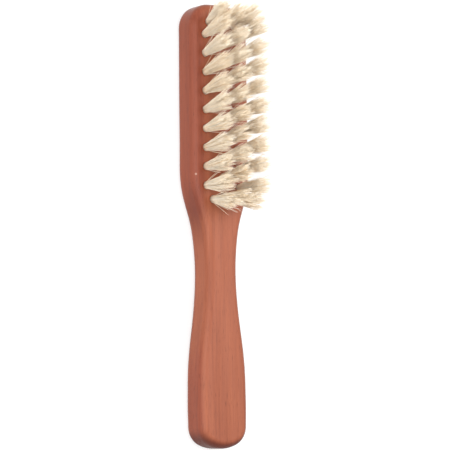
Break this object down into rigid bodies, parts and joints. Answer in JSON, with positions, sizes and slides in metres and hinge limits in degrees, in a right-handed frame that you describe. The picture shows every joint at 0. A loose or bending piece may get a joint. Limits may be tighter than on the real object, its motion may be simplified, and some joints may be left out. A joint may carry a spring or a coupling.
{
  "type": "beard brush",
  "caption": "Hand-held wooden grooming brush: rounded rectangular head with rows of pale bristle tufts, narrow waist and a wider rounded grip.",
  "frame": {"origin": "centre of the flat back, on the plane the brush rests on when its bristles point up", "axes": "+Y along the brush from the grip to the head, +Z out of the bristle face, +X across"},
  "size_m": [0.0267, 0.165, 0.0257],
  "materials": {
    "wood": "satin oiled, reddish brown",
    "bristle": "pale natural bristle",
    "wire": "flat drawn wire"
  },
  "bodies": {
    "root": {"anchors": "wire", "body": "wood", "tuft_head_end_1": "bristle", "tuft_head_end_2": "bristle", "tuft_head_end_3": "bristle", "tuft_neck_end_1": "bristle", "tuft_neck_end_2": "bristle", "tuft_neck_end_3": "bristle", "tuft_row1_01": "bristle", "tuft_row1_02": "bristle", "tuft_row1_03": "bristle", "tuft_row1_04": "bristle", "tuft_row1_05": "bristle", "tuft_row1_06": "bristle", "tuft_row1_07": "bristle", "tuft_row1_08": "bristle", "tuft_row1_09": "bristle", "tuft_row2_01": "bristle", "tuft_row2_02": "bristle", "tuft_row2_03": "bristle", "tuft_row2_04": "bristle", "tuft_row2_05": "bristle", "tuft_row2_06": "bristle", "tuft_row2_07": "bristle", "tuft_row2_08": "bristle", "tuft_row3_01": "bristle", "tuft_row3_02": "bristle", "tuft_row3_03": "bristle", "tuft_row3_04": "bristle", "tuft_row3_05": "bristle", "tuft_row3_06": "bristle", "tuft_row3_07": "bristle", "tuft_row3_08": "bristle", "tuft_row3_09": "bristle"}
  },
  "joints": []
}
